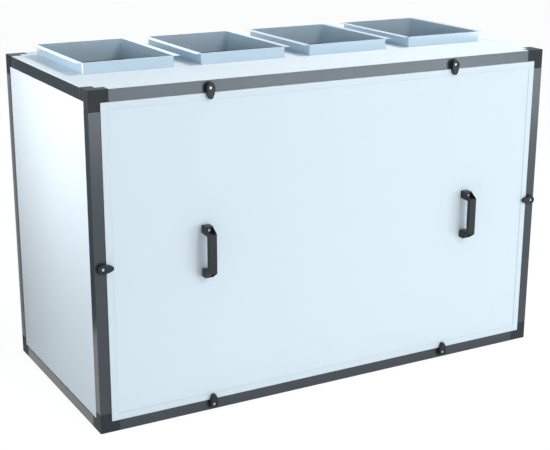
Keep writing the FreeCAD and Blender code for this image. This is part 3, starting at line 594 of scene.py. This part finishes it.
@dataclass
class BridgeHandle:
    """Bridge handle with sloping ends, each with a pocket for its screw."""

    fitter: Fitter
    node: str
    reach: float = 50.5 * MM
    grip: float = 13.5 * MM
    foot: float = 24.5 * MM
    taper: float = 3 * MM
    chamfer_height: float = 18.6 * MM
    chamfer_depth: float = 28.5 * MM
    wall: float = 2.6 * MM
    seat: float = 23 * MM
    softness: float = 1.8 * MM
    pocket_edge: float = 1.2 * MM
    rim: float = 0.8 * MM

    def profile(self, half: float) -> list[tuple[float, float]]:
        """Lays out the handle seen from its side.

        Args:
            half: Half of its length.

        Returns:
            Height and depth of each corner, from the middle of the face it sits on.
        """
        slope, shoulder = self.reach - self.chamfer_depth, half - self.chamfer_height
        inner, foot = self.reach - self.grip, half - self.foot
        throat = foot - self.taper
        upper = [(half, 0), (half, slope), (shoulder, self.reach)]
        lower = [(-height, depth) for height, depth in reversed(upper)]
        return upper + lower + [(-foot, 0), (-throat, inner), (throat, inner), (foot, 0)]

    def build(self) -> None:
        """Builds the handle's body."""
        low, high = box_of(self.node)
        middle, half = (low.z + high.z) / 2, (high.z - low.z) / 2
        outline = [Vector((low.x, high.y - depth, middle + height))
                   for height, depth in self.profile(half)]
        bench = Bench()
        bench.prism(outline, AXIS_X * (high.x - low.x), self.softness, 4)
        body = bench.lift(self.node + "_body")
        for sign in (1, -1):
            near, far = half - self.wall, half - self.chamfer_height - MM
            bottom, top = sorted((middle + sign * near, middle + sign * far))
            cutter = Bench()
            cutter.block((low.x + self.wall, high.y - self.reach - MM, bottom),
                         (high.x - self.wall, high.y - self.seat, top), self.pocket_edge, 3)
            carve(body, cutter.lift("pocket"))
        self.fitter.fit(body, Slot.GRIP, DOOR, [self.node], self.rim)


@dataclass(frozen=True)
class Screw:
    """Socket-head screw, measured from the seat of its head.

    Attributes:
        radius: Radius of its head.
        head: Height of its head.
        rim: Radius of the head's rims.
        shank_radius: Radius of its shank.
        shank: Length of the shank behind the seat.
        overlap: Length of the shank inside the head.
        floor: Height of the socket's floor.
        socket: Radius of the socket at its floor.
        mouth: Radius at the far end of the socket's cutter.
        depth: Length of the socket's cutter.
        facets: Facets round the socket.
    """

    radius: float
    head: float
    rim: float
    shank_radius: float
    shank: float
    overlap: float
    floor: float
    socket: float
    mouth: float
    depth: float
    facets: int

    def add(self, screws: Bench, sockets: Bench, seat: Vector) -> None:
        """Adds the screw and the cutter for its socket.

        Args:
            screws: Bench that gets the head and the shank.
            sockets: Bench that gets the cutter.
            seat: Middle of the head's seat.
        """
        screws.barrel(seat, OUTWARD, self.radius, self.head, self.rim)
        screws.barrel(seat - OUTWARD * self.shank, OUTWARD, self.shank_radius,
                      self.shank + self.overlap)
        sockets.barrel(seat + OUTWARD * self.floor, OUTWARD, self.socket, self.depth,
                       facets=self.facets, tip=self.mouth)


HANDLE_SCREW = Screw(radius=4.2 * MM, head=3 * MM, rim=0.6 * MM, shank_radius=3 * MM,
                     shank=38 * MM, overlap=1 * MM, floor=1 * MM, socket=2.4 * MM,
                     mouth=2.4 * MM, depth=3 * MM, facets=6)
CLAMP_SCREW = Screw(radius=4.6 * MM, head=2.2 * MM, rim=0.5 * MM, shank_radius=3.2 * MM,
                    shank=23.8 * MM, overlap=0.2 * MM, floor=0.4 * MM, socket=2.6 * MM,
                    mouth=3.6 * MM, depth=2.4 * MM, facets=48)


@dataclass
class HandleScrews:
    """Socket-head screws seen in the pockets of the handles."""

    fitter: Fitter
    seat: float = 23 * MM
    inset: float = 12 * MM

    def build(self) -> None:
        """Builds the four screws as one piece."""
        bench, sockets = Bench(), Bench()
        for node in HANDLES:
            low, high = box_of(node)
            for z in (high.z - self.inset, low.z + self.inset):
                seat = Vector(((low.x + high.x) / 2, high.y - self.seat, z))
                HANDLE_SCREW.add(bench, sockets, seat)
        screws = bench.lift("handle_screw_heads")
        carve(screws, sockets.lift("sockets"))
        self.fitter.fit(screws, Slot.ZINC, DOOR, ["handle_screws"])


@dataclass
class TurnClamp:
    """Blunt pointed lever that turns about its screw and holds the service panel's edge."""

    fitter: Fitter
    name: str
    pivot: Vector
    tip: Vector
    radius: float = 13.5 * MM
    reach: float = 32.5 * MM
    half_tip: float = 5.25 * MM
    corner: float = 1.6 * MM
    proud: float = 16.5 * MM
    lift: float = 3.7 * MM
    recess: float = 5 * MM
    recess_radius: float = 6.3 * MM
    bore_radius: float = 3.25 * MM
    front_edge: float = 1.5 * MM
    rim: float = 0.3 * MM
    steps: int = 12
    head_facets: int = 32

    def half_width(self, along: float) -> float:
        """Measures half of the lever's width.

        Args:
            along: Distance from the pivot towards the tip.

        Returns:
            Half of the width there.
        """
        run, drop = self.reach - self.corner, self.radius - self.half_tip
        bend = (run ** 2 + drop ** 2) / (2 * drop)
        return self.radius - bend + math.sqrt(bend ** 2 - along ** 2)

    def outline(self, base: Vector) -> list[Vector]:
        """Lays out the lever's face in front of the pivot.

        Args:
            base: Point on the pivot's axis in the plane of the face.

        Returns:
            Corners of the face from one side round the tip to the other.
        """
        side = self.tip.cross(OUTWARD)
        run = self.reach - self.corner
        stations = [run * step / self.steps for step in range(self.steps + 1)]
        flank = [(along, self.half_width(along)) for along in stations]
        flank.append((self.reach, self.half_tip - self.corner))
        flank += [(along, -width) for along, width in reversed(flank)]
        return [base + self.tip * along + side * width for along, width in flank]

    def head(self, base: Vector) -> list[Vector]:
        """Lays out the half circle round the pivot.

        Args:
            base: Point on the pivot's axis in the plane of the face.

        Returns:
            Corners of the half circle between the lever's sides.
        """
        side = self.tip.cross(OUTWARD)
        angles = [math.pi * step / self.head_facets for step in range(1, self.head_facets)]
        return [base + (-side * math.cos(angle) - self.tip * math.sin(angle)) * self.radius
                for angle in angles]

    def build(self) -> None:
        """Builds the lever with its rounded rim, recess and bore."""
        thickness = self.proud - self.lift
        base = self.pivot + OUTWARD * self.lift
        bench = Bench()
        bench.prism(self.outline(base) + self.head(base), OUTWARD * thickness)
        front = base.y - thickness
        rim = [line for line in bench.mesh.edges
               if all(abs(vert.co.y - front) < 0.01 * MM for vert in line.verts)]
        bench.round_edges(rim, self.front_edge, 4)
        lever = bench.lift(self.name + "_lever")
        cutter = Bench()
        cutter.barrel(base + OUTWARD * (thickness - self.recess), OUTWARD, self.recess_radius,
                      2 * self.recess)
        carve(lever, cutter.lift("recess"))
        cutter = Bench()
        cutter.barrel(base - OUTWARD * MM, OUTWARD, self.bore_radius, thickness)
        carve(lever, cutter.lift("bore"))
        node = self.name.replace("clamp", "clamp_lever")
        self.fitter.fit(lever, Slot.GRIP, self.name, [node], self.rim)


@dataclass
class ClampSet:
    """The six clamps with their bosses and screws."""

    fitter: Fitter
    inset: float = 21.5 * MM
    column: float = 433 * MM
    row: float = 513 * MM
    tube: float = 35 * MM
    sheet_setback: float = 1 * MM
    boss_radius: float = 17.5 * MM
    boss: float = 3.4 * MM
    boss_rim: float = 0.8 * MM
    boss_facets: int = 64
    seat: float = 11.8 * MM

    def places(self) -> dict[str, tuple[Vector, Vector]]:
        """Places the clamps on the frame.

        Returns:
            Pivot and tip direction of each clamp, by its body's name.
        """
        front = box_of("frame_uprights")[0].y
        sheet = box_of("top_outer_sheet")[1]
        side = sheet.x + self.sheet_setback - self.inset
        top = sheet.z - self.inset
        spots = {"clamp_top_left": (-self.column, top, -AXIS_Z),
                 "clamp_top_right": (self.column, top, -AXIS_Z),
                 "clamp_left": (-side, self.row, AXIS_X),
                 "clamp_right": (side, self.row, -AXIS_X),
                 "clamp_bottom_left": (-self.column, self.inset, AXIS_Z),
                 "clamp_bottom_right": (self.column, self.inset, AXIS_Z)}
        return {name: (Vector((x, front, z)), tip) for name, (x, z, tip) in spots.items()}

    def build(self) -> None:
        """Builds levers, bosses and screws."""
        bosses, trimmings = Bench(), Bench()
        screws, sockets = Bench(), Bench()
        half = Vector((1, 1, 1)) * self.boss_radius
        for name, (pivot, tip) in self.places().items():
            TurnClamp(self.fitter, name, pivot, tip).build()
            bosses.barrel(pivot, OUTWARD, self.boss_radius, self.boss, self.boss_rim,
                          self.boss_facets)
            spare = pivot + tip * (self.tube - self.inset + self.boss_radius)
            trimmings.block(spare - half, spare + half)
            CLAMP_SCREW.add(screws, sockets, pivot + OUTWARD * self.seat)
        rounds = bosses.lift("clamp_bosses")
        carve(rounds, trimmings.lift("trimmings"))
        self.fitter.fit(rounds, Slot.GRIP, CASING, ["clamp_spacers"])
        heads = screws.lift("clamp_screw_heads")
        carve(heads, sockets.lift("sockets"))
        self.fitter.fit(heads, Slot.ZINC, DOOR, ["clamp_screws"])


@dataclass
class DuctSpigot:
    """Folded sheet neck with flanges at its left and right and narrow hems at front and back."""

    fitter: Fitter
    node: str
    flange: float = 20 * MM
    hem: float = 3 * MM
    sheet: float = 1 * MM
    bend: float = 4 * MM
    edge: float = 0.35 * MM

    def build(self) -> None:
        """Builds the bent neck, its flanges and its hems."""
        low, high = box_of(self.node)
        x0, x1 = low.x + self.flange, high.x - self.flange
        y0, y1 = low.y + self.hem, high.y - self.hem
        top, under = high.z, high.z - self.sheet
        outer, inner = Bench(), Bench()
        outer.post((x0, y0, low.z), (x1, y1, top), self.bend)
        inner.post((x0 + self.sheet, y0 + self.sheet, low.z - MM),
                   (x1 - self.sheet, y1 - self.sheet, top + MM), self.bend - self.sheet)
        neck = outer.lift(self.node + "_folded")
        carve(neck, inner.lift("hollow"))
        rims = Bench()
        rims.mesh.from_mesh(neck.data)
        for near, far in ((low.x, x0 + self.sheet), (x1 - self.sheet, high.x)):
            rims.block((near, y0, under), (far, y1, top), self.edge)
        for near, far in ((low.y, y0 + self.sheet), (y1 - self.sheet, high.y)):
            rims.block((x0 + self.bend, near, under), (x1 - self.bend, far, top), self.edge)
        rims.mesh.to_mesh(neck.data)
        rims.mesh.free()
        self.fitter.fit(neck, Slot.SPIGOT, CASING, [self.node])


@dataclass
class InnerWorks:
    """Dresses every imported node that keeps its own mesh."""

    fitter: Fitter

    def build(self) -> None:
        """Gives each remaining node the finish of its slot."""
        for entry in frame["record"]["subparts"]:
            node = entry["node"]
            if node not in self.fitter.replaced:
                self.fitter.wardrobe.dress_node(node, Slot(entry["material_slot"]))
                LOG.info("%s keeps its packed shape", node)


def facing(place: Point, aim: Point) -> Matrix:
    """Turns a camera or a lamp towards a point.

    Args:
        place: Where it stands.
        aim: Point that it faces.

    Returns:
        Its matrix in the world.
    """
    turn = (Vector(aim) - Vector(place)).to_track_quat("-Z", "Y").to_matrix().to_4x4()
    return Matrix.Translation(Vector(place)) @ turn


@dataclass(frozen=True)
class Lamp:
    """Rectangular area lamp that the camera doesn't see.

    Attributes:
        name: Name of the lamp.
        place: Where it hangs.
        aim: Point that it faces.
        size: Width and height of its face.
        power: Power in watts.
        colour: Colour of its light.
    """

    name: str
    place: Point
    aim: Point
    size: tuple[float, float]
    power: float
    colour: Colour

    def hang(self) -> None:
        """Adds the lamp to the scene."""
        lamp = bpy.data.lights.new(self.name, "AREA")
        lamp.shape = "RECTANGLE"
        lamp.size, lamp.size_y = self.size
        lamp.energy = self.power
        lamp.color = self.colour
        hung = bpy.data.objects.new(self.name, lamp)
        hung.matrix_world = facing(self.place, self.aim)
        hung.visible_camera = False
        bpy.context.collection.objects.link(hung)


LAMPS = (
    Lamp("front_right", (0.6, -3.8, 2.9), (-0.2, -0.3, 0.5), (1.3, 1.3), 46, (1.0, 0.98, 0.94)),
    Lamp("front_strip", (2.1, -4.6, 0.16), (0.1, 0.0, 0.7), (4.0, 0.32), 66, (0.76, 0.90, 0.98)),
    Lamp("right_card", (4.0, -4.6, 0.62), (0.4, 0.0, 0.9), (1.8, 0.4), 10, (0.92, 0.97, 1.0)),
    Lamp("left_side", (-1.60, -0.1, 1.06), (-0.8, 0.0, 0.98), (0.9, 0.35), 8.4,
         (0.98, 0.99, 1.0)),
    Lamp("overhead", (1.40, -0.15, 3.8), (0.25, 0.0, 1.0), (1.3, 1.3), 60, (0.98, 0.99, 1.0)),
    Lamp("rear", (1.2, 5.0, 2.0), (0.0, 0.2, 0.9), (2.4, 1.4), 20, (0.62, 0.86, 1.0)),
)


@dataclass
class Studio:
    """Camera, lamps, white surroundings, a pale floor and a black card."""

    place: Point = (-1.9575, -3.4898, 1.6415)
    aim: Point = (-0.0924, -0.1452, 0.4862)
    roll: float = math.radians(0.23)
    lens: float = 80.41
    sensor: float = 36.0
    nearest: float = 0.05
    ambient: float = 0.46
    ambient_colour: Opaque = (0.82, 0.92, 1.0, 1.0)
    floor_reach: float = 12.0
    floor_drop: float = 0.4 * MM
    floor_colour: Opaque = (0.80, 0.81, 0.82, 1.0)
    floor_seen: Opaque = (0.10, 0.10, 0.10, 1.0)
    floor_glow: float = 0.93
    card_low: Point = (-1.40, 0.43, 0.0)
    card_high: Point = (-0.83, 0.432, 1.15)
    card_colour: Opaque = (0.02, 0.02, 0.02, 1.0)

    def camera(self) -> None:
        """Adds the camera."""
        lens = bpy.data.cameras.new("camera")
        lens.lens = self.lens
        lens.sensor_width = self.sensor
        lens.clip_start = self.nearest
        eye = bpy.data.objects.new("camera", lens)
        eye.matrix_world = facing(self.place, self.aim) @ Matrix.Rotation(self.roll, 4, "Z")
        bpy.context.collection.objects.link(eye)
        bpy.context.scene.camera = eye

    def by_ray(self, nodes: Nodes, links: Links, light: Socket, seen: Socket) -> Socket:
        """Mixes two shaders by the kind of ray.

        Args:
            nodes: The tree's nodes.
            links: The tree's links.
            light: Shader for rays that carry light.
            seen: Shader for camera, glossy and transmission rays.

        Returns:
            The mixed shader.
        """
        path = nodes.new("ShaderNodeLightPath")
        direct = path.outputs["Is Camera Ray"]
        for kind in ("Is Glossy Ray", "Is Transmission Ray"):
            either = nodes.new("ShaderNodeMath")
            either.operation = "MAXIMUM"
            links.new(direct, either.inputs[0])
            links.new(path.outputs[kind], either.inputs[1])
            direct = either.outputs[0]
        mix = nodes.new("ShaderNodeMixShader")
        for number, source in enumerate((direct, light, seen)):
            links.new(source, mix.inputs[number])
        return mix.outputs[0]

    def surroundings(self) -> None:
        """Makes the world white to the eye and softly grey as a light."""
        world = bpy.data.worlds.new("surroundings")
        bpy.context.scene.world = world
        world.use_nodes = True
        nodes, links = world.node_tree.nodes, world.node_tree.links
        soft = nodes["Background"]
        soft.inputs["Color"].default_value = self.ambient_colour
        soft.inputs["Strength"].default_value = self.ambient
        white = nodes.new("ShaderNodeBackground")
        white.inputs["Color"].default_value = WHITE
        mixed = self.by_ray(nodes, links, soft.outputs[0], white.outputs[0])
        links.new(mixed, nodes["World Output"].inputs["Surface"])

    def floor(self) -> None:
        """Lays a pale floor that looks white and keeps a faint shadow."""
        bench = Bench()
        bmesh.ops.create_grid(bench.mesh, x_segments=1, y_segments=1, size=self.floor_reach,
                              matrix=Matrix.Translation((0, 0, -self.floor_drop)))
        ground = bench.lift("floor")
        pale = bpy.data.materials.new("pale_floor")
        pale.use_nodes = True
        nodes, links = pale.node_tree.nodes, pale.node_tree.links
        nodes.remove(nodes["Principled BSDF"])
        matt = nodes.new("ShaderNodeBsdfDiffuse")
        matt.inputs["Color"].default_value = self.floor_colour
        faint = nodes.new("ShaderNodeBsdfDiffuse")
        faint.inputs["Color"].default_value = self.floor_seen
        glow = nodes.new("ShaderNodeEmission")
        glow.inputs["Strength"].default_value = self.floor_glow
        both = nodes.new("ShaderNodeAddShader")
        links.new(faint.outputs[0], both.inputs[0])
        links.new(glow.outputs[0], both.inputs[1])
        mixed = self.by_ray(nodes, links, matt.outputs[0], both.outputs[0])
        links.new(mixed, nodes["Material Output"].inputs["Surface"])
        ground.data.materials.append(pale)

    def card(self) -> None:
        """Stands a black card behind the left side, mirrored by the frame's left faces."""
        bench = Bench()
        bench.block(self.card_low, self.card_high)
        card = bench.lift("black_card")
        black = bpy.data.materials.new("black_card")
        black.use_nodes = True
        shader = black.node_tree.nodes["Principled BSDF"]
        shader.inputs["Base Color"].default_value = self.card_colour
        shader.inputs["Roughness"].default_value = 1.0
        card.data.materials.append(black)
        card.visible_camera = False

    def build(self) -> None:
        """Sets up the whole studio."""
        self.camera()
        self.surroundings()
        self.floor()
        self.card()
        for lamp in LAMPS:
            lamp.hang()
        bpy.context.scene.view_settings.view_transform = "Standard"


def main() -> None:
    """Builds every piece in order."""
    logging.basicConfig(level=logging.INFO, format="%(name)s: %(message)s")
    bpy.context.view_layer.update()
    fitter = Fitter(Wardrobe(FINISHES))
    SoftenedNodes(fitter).build()
    TopSheetHem(fitter).build()
    for node in HANDLES:
        BridgeHandle(fitter, node).build()
    HandleScrews(fitter).build()
    ClampSet(fitter).build()
    for name in AIRWAYS:
        DuctSpigot(fitter, name + "_air_spigot").build()
    InnerWorks(fitter).build()
    Studio().build()


if __name__ == "__main__":
    main()
